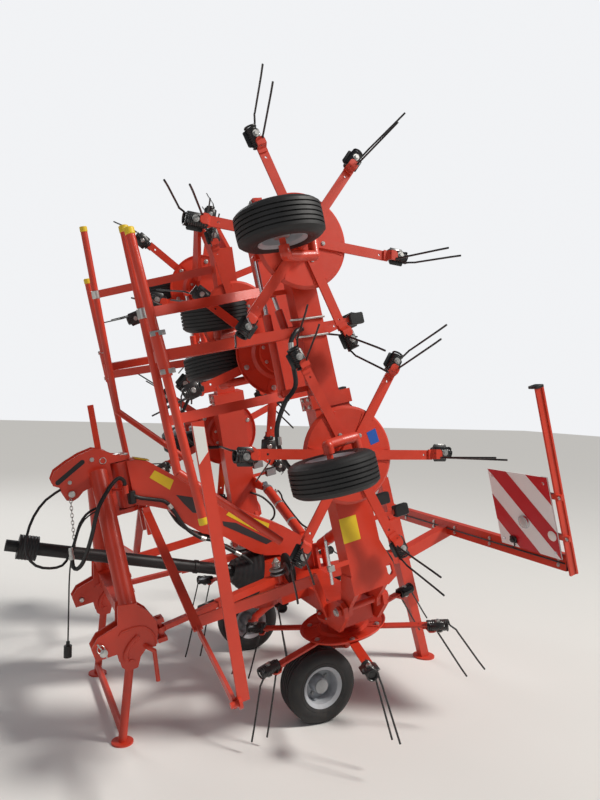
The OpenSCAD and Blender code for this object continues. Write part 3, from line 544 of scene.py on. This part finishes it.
def board(s):
    """What is fixed to a warning board and its upright: stripes, reflectors, lamps, brackets, bolts and white tape."""
    post, side = at_post(s), SIDES[s]

    def on_board(x, v):
        """The post-frame point at x of the board's width from its inner edge and v of its height from the top."""
        return np.array([0.0, -s * (12 + BOARD_SIZE * (1 - x)), 62 + BOARD_SIZE * (1 - v)])

    red, white, black, lens, chrome, bolts = Shape(), Shape(), Shape(), Shape(), Shape(), Shape()
    for lo, hi in STRIPES:
        edge = [(max(lo, 0), max(-lo, 0)), (max(hi, 0), max(-hi, 0)),
                (1 + min(hi, 0), 1 - max(hi, 0)), (1 + min(lo, 0), 1 - max(lo, 0))]
        for z in (BOARD_FRONT, BOARD_BACK):
            q = np.array([on_board(x, v) for x, v in edge])
            red.grid(np.stack([q + (z - 0.6, 0, 0), q + (z + 0.6, 0, 0)]), post)
    c = on_board(0.92, 0.72)
    for z, way in ((-60.2, -1), (-50.8, 1)):
        white.lathe([(30, 0), (30, 3), (27, 5)], post @ facing(c + (z, 0, 0), (way, 0, 0)), 32)
    c = on_board(0.5, 0.62)
    lamp = post @ facing(c + (-60, 0, 0), (-1, 0, 0))
    chrome.lathe([(40, 0), (42, 6), (40, 14), (34, 14), (34, 9)], lamp, 40)
    lens.lathe([(34, 8), (34, 12), (27, 17), (14, 20), (3, 21)], lamp, 32)
    rear_lamp = post @ facing(c + (-51, 0, 0), (1, 0, 0))
    black.lathe([(36, 0), (36, 12), (30, 18), (8, 19)], rear_lamp, 32)
    c = on_board(0.25, 0.9)
    black.box((-74, c[1] - 26, c[2] - 20), (-60, c[1] + 26, c[2] + 20), post, 4)
    black.lathe([(17, 0), (17, 9), (12, 14), (4, 15)], post @ facing(c + (-73, 0, 0), (-1, 0, 0)), 20)
    for x, v in ((0.93, 0.08), (0.93, 0.93), (0.07, 0.08), (0.07, 0.93)):
        chrome.bolt(on_board(x, v) + (-59, 0, 0), (-1, 0, 0), 13, 5, post)
        chrome.bolt(on_board(x, v) + (-51, 0, 0), (1, 0, 0), 13, 5, post)
    black.box((-52, -32, 1052), (4, 32, 1068), post, 3)
    for z0, z1, z2 in ((1040, 880, 850), (735, 700, 680)):
        white.prism([(s * -25, z0), (s * 8, z0), (s * 8, z2), (s * -25, z1)], -11.4, -9.6, post @ FRONTAL, 0.3)
        white.prism([(s * -25, z0), (s * 25, z0), (s * 25, z2), (s * -25, z1)], 1.4, 3.0, post @ FRONTAL, 0.3)
    for z in (195, 435):
        for y in (-s * 30 - 75, -s * 30 + 75):
            bolts.bolt((-50, y, z), (-1, 0, 0), 15, 6, post)
    put(side + "_board_red", red, STRIPE, "base")
    put(side + "_board_reflectors", white, WHITE, "base")
    put(side + "_board_mount", black, PLASTIC, "base")
    put(side + "_board_lens", lens, LENS, "base")
    put(side + "_board_rings", chrome, CHROME, "base")
    put(side + "_post_bolts", bolts, ZINC, "base")


for s in (-1, 1):
    board(s)

# Neck: blank labels, dark bands and the clipped hose on each flank. Outlines and the hose are in (u, w).
NECK_LABELS = [[(-818, 1019), (-782, 1054), (-685, 971), (-718, 922)],
               [(-417, 688), (-384, 712), (-157, 560), (-192, 491)]]
NECK_BANDS = [[(-690, 885), (-583, 839), (-510, 770), (-507, 720), (-612, 755), (-654, 821)],
              [(-447, 657), (-367, 625), (-158, 448), (-201, 440), (-445, 628)]]
NECK_HOSE = [(-930, 948), (-896, 924), (-820, 893), (-760, 864), (-722, 800), (-673, 684), (-597, 601),
             (-527, 562), (-428, 471), (-355, 405), (-318, 352), (-306, 322)]
NECK_HOSE_OUT = [100, 92, 88, 88, 88, 88, 88, 88, 88, 86, 84, 82]
NECK_CLIPS = (18, 31, 42)
LABEL_Y, BAND_Y = 76.7, 76.5
labels, bands, hoses, clips = Shape(), Shape(), Shape(), Shape()
for s in (-1, 1):
    for outline in NECK_LABELS:
        on_side(labels, outline, s * LABEL_Y - 0.7, s * LABEL_Y + 0.7)
    for outline in NECK_BANDS:
        on_side(bands, outline, s * BAND_Y - 0.5, s * BAND_Y + 0.5)
    line = curve([(u, s * y, w) for (u, w), y in zip(NECK_HOSE, NECK_HOSE_OUT)], 5)
    hoses.tube(line, 22, 12, MACHINE)
    hoses.rod((-941, s * 88, 902), (-935, s * 88, 974), 46, 24, 4, MACHINE)
    for k in NECK_CLIPS:
        clips.tube(line[k - 1:k + 2], 28, 14, MACHINE)
on_side(labels, [(-872, 1139.5), (-795, 1109.5), (-793, 1115), (-870, 1145)], -45, 45, MACHINE, 1.5)
put("neck_labels", labels, YELLOW, "base")
put("neck_bands", bands, DECAL, "base")
put("neck_hoses", hoses, HOSE, "base")

# Main frame: flange bolts, hinge pin nuts, gearbox studs, friction discs and springs on the stabiliser posts
SPRING_TURNS = 3.5
irons, rubber = Shape(), Shape()
for s in (-1, 1):
    clips.flange_bolts(s * ROTOR_PITCH / 2, 118, 17, 8, MACHINE)
    for u in (-152, 152):
        clips.bolt((u, s * HINGE_Y, HINGE_W), (math.copysign(1, u), 0, 0), 30, 14, MACHINE)
    for y in (40, 75):
        for w in (160, 310):
            clips.bolt((-322, s * y, w), (-1, 0, 0), 15, 7, MACHINE)
    post_y = s * STABILISER_POST_Y
    disc = MACHINE @ move(STABILISER_POST_U, post_y, 0)
    irons.lathe([(46, 322), (48, 324), (48, 329), (46, 331)], disc, 32)
    rubber.lathe([(38, 331), (41, 334), (41, 343), (38, 346)], disc, 32)
    upright = MACHINE @ facing((-182, post_y, 334), (1, 0, 0))
    rubber.lathe([(86, 0), (92, 4), (92, 16), (86, 20)], upright, 48)
    irons.lathe([(40, -6), (40, 26), (34, 29)], upright, 32)
    irons.box((-182, post_y - 22, 250), (-162, post_y + 22, 330), MACHINE, 3)
    irons.lathe([(46, 346), (48, 348), (48, 353), (46, 355)], disc, 32)
    a = np.linspace(0, 2 * math.pi * SPRING_TURNS, 60)
    clips.tube(np.column_stack([24 * np.cos(a), 24 * np.sin(a), np.linspace(358, 392, 60)]), 6, 8, disc)
    clips.rod((0, 0, 330), (0, 0, 418), 18, 16, 2, disc)
    clips.bolt((0, 0, 395), (0, 0, 1), 28, 14, disc)
for a in around(6):
    clips.bolt((-345, 44 * math.cos(a), 284 + 44 * math.sin(a)), (-1, 0, 0), 11, 5, MACHINE)
put("frame_bolts", clips, ZINC, "base")
put("friction_discs", irons, GREY, "base")
put("friction_rubbers", rubber, RUBBER, "base")

SHAFT_SLOPE = 0.435


def shaft(u):
    """The point of the drive shaft's axis at u."""
    return (u, 0, 273 - (u + 315) * SHAFT_SLOPE)


def shaft_guard():
    """Ribbed bells at both ends of the drive shaft, the rear one flared, and two bearing rings. A bell's radius is
    65.5 + flare (1 - z / n) + 1.6 cos(12 pi z / n) over its length n."""
    way = np.array([-1.0, 0, SHAFT_SLOPE]) / math.hypot(1, SHAFT_SLOPE)
    bells = Shape()
    for u0, u1, flare in ((-288, -430, 92), (-1472, -1560, 0)):
        n = math.dist(shaft(u0), shaft(u1))
        z = np.linspace(0, n, 25)
        r = 65.5 + flare * (1 - z / n) + 1.6 * np.cos(z / n * 2 * math.pi * 6)
        rows = np.column_stack([np.concatenate([[50], r, [50]]), np.concatenate([[0], z, [n]])])
        bells.lathe(rows, MACHINE @ facing(shaft(u0), way), 40)
    for u in (-640, -1100):
        bells.lathe([(34, -14), (40, -11), (40, 11), (34, 14)], MACHINE @ facing(shaft(u), way), 32)
    put("shaft_bells", bells, PLASTIC, "base")


shaft_guard()

# Headstock: slots drawn as black sheets of painted shade, pins, rings and ridges on both flanks
LINK_U, LINK_W = -1283, 299
RIDGES = [([(-1193, 352), (-1176, 366), (-1113, 368), (-1060, 350), (-1028, 300), (-1023, 249)], 10),
          ([(-1183, 215), (-1180, 253), (-1149, 292), (-1105, 320)], 26)]
steel, chain, slot_shade, ridges = Shape(), Shape(), Shape(), Shape()
for s in (-1, 1):
    y = s * 60.5
    a = np.linspace(0, math.pi, 9)
    cap = np.column_stack([13 * np.sin(a), 13 * np.cos(a)])
    # Each slot is a thin black sheet on the flank: painted shade standing for the dark inside of the slot.
    slot = np.concatenate([cap + (166, 0), -cap]) @ np.array([(0.874, 0.486), (-0.486, 0.874)]) + (-1301, 1110)
    on_side(slot_shade, slot, s * 60.4 - 0.6, s * 60.4 + 0.6)
    for u, w, size in ((-1104, 1192, 17), (-1241, 1096, 15)):
        steel.bolt((u, s * 60, w), (0, s, 0), size, size * 0.42, MACHINE)
    a = around(28)
    ring = np.column_stack([-1048 + 17 * np.cos(a), np.full(28, y), 1172 + 17 * np.sin(a)])
    steel.tube(ring, 5, 8, MACHINE, True)
    for n in (-1, 1):
        for line, d in RIDGES:
            ridges.tube(curve([(u, s * LINK_Y + n * 46, w) for u, w in line], 4), d, 10, MACHINE)
    link_w = LINK_W + s
    steel.rod((LINK_U, s * LINK_Y - 60, link_w), (LINK_U, s * LINK_Y + 60, link_w), 27.4, 24, 2.5, MACHINE)
    steel.lathe([(20, 0), (20, 7), (17, 9)], MACHINE @ facing((LINK_U, s * (LINK_Y + 60), link_w), (0, s, 0)), 24)
    a = around(24)
    ring = np.column_stack([-1292 + 18 * np.cos(a), np.full(24, s * (LINK_Y + 66)) + 5 * np.sin(a),
                            322 + 18 * np.sin(a)])
    steel.tube(ring, 4, 6, MACHINE, True)
    steel.rod((-1303, s * (LINK_Y + 56), 350), (-1270, s * (LINK_Y + 56), 268), 9, 12, 1.5, MACHINE)

# Top link pin, swivel cap, and the chain: its links stand in turn along and across
steel.rod((-1245, -82, 1035), (-1245, 82, 1035), 24.8, 24, 2.5, MACHINE)
steel.rod((-1245, -94, 1035), (-1245, -80, 1035), 36, 24, 2, MACHINE)
steel.lathe([(52, 0), (52, 6), (30, 8), (30, 14), (26, 16)], MACHINE @ move(-950, 0, 1172), 40)
CHAIN_TOP, CHAIN_LOW, LINKS = np.array([-1256.0, -74, 1008]), np.array([-1286.0, -74, 752]), 13
a = around(14)
oval = np.column_stack([7 * np.cos(a), np.zeros(14), 13.5 * np.sin(a)])
for k in range(LINKS):
    p = CHAIN_TOP + (CHAIN_LOW - CHAIN_TOP) * (k + 0.5) / LINKS
    chain.tube(oval, 4.6, 6, MACHINE @ move(*p) @ turn("Y", 0.116) @ turn("Z", math.pi / 2 * (k % 2)), True)
put("headstock_steel", steel, ZINC, "headstock")
put("headstock_chain", chain, ZINC, "headstock")
put("headstock_slot_shade", slot_shade, PLASTIC, "headstock")
put("headstock_ridges", ridges, ORANGE, "headstock")

# Hoses of a wing in (u, l, h): the thick one along the beam and the loop above the inner hinge
THICK_HOSE = [(-60, 2300, 95), (-110, 2290, 62), (-153, 2239, 60), (-165, 2140, 60), (-173, 2040, 60),
              (-205, 1995, 60), (-253, 1955, 60), (-324, 1840, 60), (-330, 1723, 60), (-290, 1630, 72),
              (-200, 1580, 92), (-100, 1560, 110)]
HINGE_HOSE = [(60, 1180, 195), (90, 1165, 205), (150, 1120, 215), (215, 1030, 215), (222, 965, 210),
              (190, 925, 205), (130, 925, 200), (80, 950, 195), (60, 975, 185)]
# Ends of the two small cylinders of the outer section: rod end and barrel end as (u, l)
SMALL_CYLINDERS = [((-185, 2713), (-196, 1997)), ((-132, 2517), (-104, 2309))]


def wing_trim(s):
    """What is fixed to a wing. A wing point is (u, l, h): u across the beam, l outwards and h up when unfolded."""
    w, side = wing(s), SIDES[s]
    straps, zinc, black, grey = Shape(), Shape(), Shape(), Shape()
    yellow, chrome, barrel = Shape(), Shape(), Shape()

    def p(u, l, h):
        """A wing point, mirrored to side s."""
        return (u, s * l, h)

    def lbox(shape, u0, u1, l0, l1, h0, h1, c=2.0):
        """A box between two wing points, mirrored to side s."""
        y0, y1 = sorted((s * l0, s * l1))
        return shape.box((u0, y0, h0), (u1, y1, h1), w, c)

    # Latch rods, thick hose with its end sleeves, strut of the latch
    for l, u0, u1 in ((2348, -121, 74), (2258, -109, 74)):
        zinc.rod(p(u0, l + 3, 84), p(u1, l - 3, 84), 12, 14, 1.5, w)
        lbox(straps, u0 + 8, -60, l - 10, l + 10, 88, 98)
    black.tube(curve([p(*q) for q in THICK_HOSE], 5), 24, 12, w)
    for a, b in (((-153, 2239, 60), (-160, 2190, 60)), ((-326, 1800, 60), (-330, 1760, 60))):
        zinc.rod(p(*a), p(*b), 29, 18, 1.5, w)
    chrome.rod(p(-193, 1245, 74), p(-207, 1027, 74), 16, 16, 1.5, w)
    lbox(zinc, -212, -180, 1090, 1120, 60, 88)
    lbox(straps, -212, -92, 1093, 1117, 80, 90)

    # The outer section's cylinders: rod, barrel, both eyes and their brackets
    for (u0, l0), (u1, l1) in SMALL_CYLINDERS:
        long = l0 - l1
        chrome.rod(p(u0, l0, 200), p(u0 + (u1 - u0) * 0.45, l0 - long * 0.45, 200), 22, 20, 1.5, w)
        barrel.rod(p(u0 + (u1 - u0) * 0.42, l0 - long * 0.42, 200), p(u1, l1, 200), 42, 24, 3, w)
        barrel.rod(p(u0, l0 - 4, 184), p(u0, l0 - 4, 216), 36, 20, 2, w)
        barrel.rod(p(u1, l1 + 4, 180), p(u1, l1 + 4, 220), 44, 20, 2, w)
        lbox(barrel, u0 - 12, -60, l0 - 16, l0 + 8, 170, 184)
        lbox(barrel, u1 - 12, -60, l1 - 8, l1 + 20, 166, 180)

    # Blank label, side lights on their arms, hose over the hinge, clamps of the guard rail
    lbox(yellow, -94, 4, 1197, 1323, 81.2, 82.4, 0.3)
    for u, l in ((183, 1357), (280, 1272), (261, 2307)):
        lbox(black, u - 42, u + 42, l - 30, l + 30, 84, 122, 6)
        lbox(grey, u - 38, u + 38, l - 26, l + 26, 121, 128, 3)
        lbox(straps, 62, u - 30, l - 12, l + 12, 98, 106)
    black.tube(curve([p(*q) for q in HINGE_HOSE], 5), 16, 10, w)
    for l, u in ((2391, -791), (2211, -783)):
        arc = [p(u + 26 * math.cos(a), l, 92 + 26 * math.sin(a)) for a in np.linspace(0, math.pi, 15)]
        zinc.tube([p(u + 26, l, 62)] + arc + [p(u - 26, l, 62)], 8, 8, w)
        lbox(zinc, u - 36, u + 36, l - 12, l + 12, 63, 70)
        for e in (-26, 26):
            zinc.bolt(p(u + e, l, 64), (0, 0, -1), 13, 8, w)

    # Flange bolts of both rotors, beam bolts, rail ends and the nuts of the outer hinge
    for k in (1.5, 2.5):
        zinc.flange_bolts(s * k * ROTOR_PITCH, 110, 15, 7, w, s)
    for l in (1905, 1945):
        for h in (105, 170):
            zinc.bolt(p(122, l, h), (1, 0, 0), 17, 8, w)
            zinc.bolt(p(-106, l, h), (-1, 0, 0), 17, 8, w)
    for a, b in (((-765, 1486, 90), (-766, 1520, 90)), ((-811, 2860, 90), (-812, 2894, 90))):
        yellow.rod(p(*a), p(*b), 47, 24, 3, w)
    for u, way in ((-88, -1), (88, 1)):
        zinc.bolt(p(u, OUTER_HINGE_Y[s], OUTER_HINGE_W), (way, 0, 0), 28, 12, w)
    body = side + "_wing"
    put(side + "_wing_straps", straps, ORANGE, body)
    put(side + "_wing_bolts", zinc, ZINC, body)
    put(side + "_wing_hoses", black, HOSE, body)
    put(side + "_wing_lights", grey, GREY, body)
    put(side + "_wing_caps", yellow, YELLOW, body)
    put(side + "_wing_rods", chrome, CHROME, body)
    put(side + "_wing_cylinders", barrel, ORANGE, body)


def outer_trim(s):
    """The rail's cap and coupling, the beam bolts and the flange bolts of an outer section."""
    o, side = outer(s), SIDES[s]
    caps, joints = Shape(), Shape()
    caps.rod((-800, s * 3106, 400), (-800, s * 3140, 400), 47, 24, 3, o)
    joints.rod((-800, s * 3514, 400), (-800, s * 3566, 400), 52, 24, 3, o)
    for l in (3475, 4066):
        joints.bolt((-50, s * l - s * 7, 176), (0, -s, 0), 17, 8, o)
    joints.flange_bolts(s * 3.5 * ROTOR_PITCH, 110, 15, 7, o)
    put(side + "_outer_caps", caps, YELLOW, side + "_outer")
    put(side + "_outer_clamps", joints, ZINC, side + "_outer")


def flap_trim(s):
    """The white panel on the outward face of a guard upright, and two rivets."""
    side, y = SIDES[s], s * 1508
    flap, rivets = Shape(), Shape()

    def u_at(h):
        """The middle of the raked upright at height h."""
        return -896 + (h - 345) * 27 / 1075

    low, top = (1270, 1408) if s < 0 else (1067, 1408)
    outline = [(u_at(low) - 21, low - 6), (u_at(low) + 21, low + 34), (u_at(top) + 21, top - 12), (u_at(top) - 21, top)]
    on_side(flap, outline, y + s * 6.6 - 0.6, y + s * 6.6 + 0.6)
    for h in (400, 900):
        rivets.bolt((u_at(h), y - s * 6, h), (0, -s, 0), 13, 6, MACHINE)
    put(side + "_flap_panel", flap, WHITE, side + "_guard_flap")
    put(side + "_flap_rivets", rivets, ZINC, side + "_guard_flap")


for s in (-1, 1):
    wing_trim(s)
    outer_trim(s)
    flap_trim(s)

# Fold cylinders: from the pin on the centre frame towards the rod eye on the folded wing
PIN_U, PIN_Y, PIN_W = 134, 100, 335
PORTS = (84, 560)
EYE_Y = 415 * math.cos(FOLD) - 111 * math.sin(FOLD) + HINGE_Y - PIN_Y
EYE_W = 415 * math.sin(FOLD) + 111 * math.cos(FOLD) + HINGE_W - PIN_W
BARREL_HOSE = [(52, 0, 560), (62, 0, 548), (60, 0, 500), (46, 0, 440), (42, 0, 300), (46, 0, 160), (60, 0, 110),
               (62, 0, 96), (52, 0, 84)]


def fold_cylinder_trim(s):
    """Gland ring, two ports with the hose between them, and two clamps on the barrel, whose axis is Z."""
    side = SIDES[s]
    lift = math.atan2(EYE_W, EYE_Y)
    m = MACHINE @ move(PIN_U, s * PIN_Y, PIN_W) @ turn("X", s * lift) @ turn("X", -s * math.pi / 2)
    gland, fittings, line = Shape(), Shape(), Shape()
    gland.lathe([(19.5, 586), (36, 588), (36.5, 606), (34, 613), (19.5, 613)], m, 36, True)
    for z in PORTS:
        fittings.rod((26, 0, z), (48, 0, z), 20, 16, 2, m)
        fittings.bolt((44, 0, z), (1, 0, 0), 22, 10, m)
    line.tube(curve(BARREL_HOSE, 5), 13, 10, m)
    for z in (200, 400):
        fittings.lathe([(33.2, -9), (35, -8), (35, 8), (33.2, 9)], m @ move(0, 0, z), 36, True)
    put(side + "_barrel_gland", gland, GREY, side + "_fold_barrel")
    put(side + "_barrel_fittings", fittings, ZINC, side + "_fold_barrel")
    put(side + "_barrel_hose", line, HOSE, side + "_fold_barrel")


for s in (-1, 1):
    fold_cylinder_trim(s)

# Rear frame: bolts and end caps of the cross bar, and the lamps' cable along its front with a branch to each lamp
rear, rear_black, cable = Shape(), Shape(), Shape()
for s in (-1, 1):
    for y in (120, 480, 1060):
        for z in (890, 925):
            rear.bolt((BAR_FRONT, s * y, z), (-1, 0, 0), 17, 8)
    rear_black.box((1268 + SHIFT, min(s * 1112, s * 1118), 868), (1322 + SHIFT, max(s * 1112, s * 1118), 952), None, 2)
    x = 1261 + SHIFT
    run = [(x, s * y, CABLE_HEIGHT) for y in (36, 400, 800, 1080)] + [(x + 9, s * 1100, CABLE_HEIGHT)]
    branch = [(x, s * 650, CABLE_HEIGHT), (x - 2, s * 690, 912), (x - 11, s * 722, 926), (x - 25, s * 738, 940),
              (x - 31, s * 739, 953)]
    cable.tube(curve(run), 9, 10)
    cable.tube(curve(branch), 8, 10)
put("rear_bolts", rear, ZINC, "base")
put("rear_cable", cable, HOSE, "base")
put("rear_end_caps", rear_black, PLASTIC, "base")

# Stage: floor, sky and lamps
FLOOR_HALF = 40
floor_mat = bpy.data.materials.new("floor")
floor_mat.use_nodes = True
floor_mat.node_tree.nodes["Principled BSDF"].inputs["Base Color"].default_value = (0.74, 0.73, 0.71, 1)
floor_mat.node_tree.nodes["Principled BSDF"].inputs["Roughness"].default_value = 0.9
fm = bpy.data.meshes.new("floor")
fm.from_pydata([(x * FLOOR_HALF, y * FLOOR_HALF, 0) for x, y in ((-1, -1), (1, -1), (1, 1), (-1, 1))], [],
               [(0, 1, 2, 3)])
floor = bpy.data.objects.new("floor", fm)
fm.materials.append(floor_mat)
bpy.context.scene.collection.objects.link(floor)

world = bpy.data.worlds.new("sky")
world.use_nodes = True
sky_nodes, sky_links = world.node_tree.nodes, world.node_tree.links
light = sky_nodes["Background"]
light.inputs["Color"].default_value = (0.84, 0.88, 0.95, 1)
light.inputs["Strength"].default_value = 0.17
seen = sky_nodes.new("ShaderNodeBackground")
seen.inputs["Color"].default_value = (0.93, 0.94, 0.96, 1)
seen.inputs["Strength"].default_value = 0.95
rays = sky_nodes.new("ShaderNodeLightPath")
either = sky_nodes.new("ShaderNodeMixShader")
sky_links.new(rays.outputs["Is Camera Ray"], either.inputs[0])
sky_links.new(light.outputs[0], either.inputs[1])
sky_links.new(seen.outputs[0], either.inputs[2])
sky_links.new(either.outputs[0], sky_nodes["World Output"].inputs[0])
bpy.context.scene.world = world


def lamp(name, kind, power, color, way, where=(0, 0, 0)):
    """A lamp at a place that shines along way. The caller gives its size."""
    la = bpy.data.lights.new(name, kind)
    la.energy = power
    la.color = color
    lo = bpy.data.objects.new(name, la)
    lo.location = where
    lo.rotation_mode = "QUATERNION"
    lo.rotation_quaternion = Vector(way).to_track_quat("-Z", "Y")
    bpy.context.scene.collection.objects.link(lo)
    return la


# Columns: name, place, target, diameter, power, colour
LAMP_DISCS = [
    ("key", (5.8, -4.2, 6.6), (0, 0, 1.3), 2.4, 220, (1.0, 0.96, 0.90)),
    ("fill", (-6.0, -6.0, 4.5), (0, 0, 1.3), 4.0, 45, (0.94, 0.96, 1.0)),
    ("back", (-2.5, 7.0, 6.5), (0, 0, 1.6), 4.0, 170, (1, 1, 1)),
]
for name, where, to, size, power, color in LAMP_DISCS:
    disc = lamp(name, "AREA", power, color, Vector(to) - Vector(where), where)
    disc.shape = "DISK"
    disc.size = size
sun = lamp("sun", "SUN", 2.5, (1.0, 0.97, 0.92), (-5.2, 3.4, -6.8))
sun.angle = math.radians(9)

bpy.context.scene.view_settings.view_transform = "Standard"
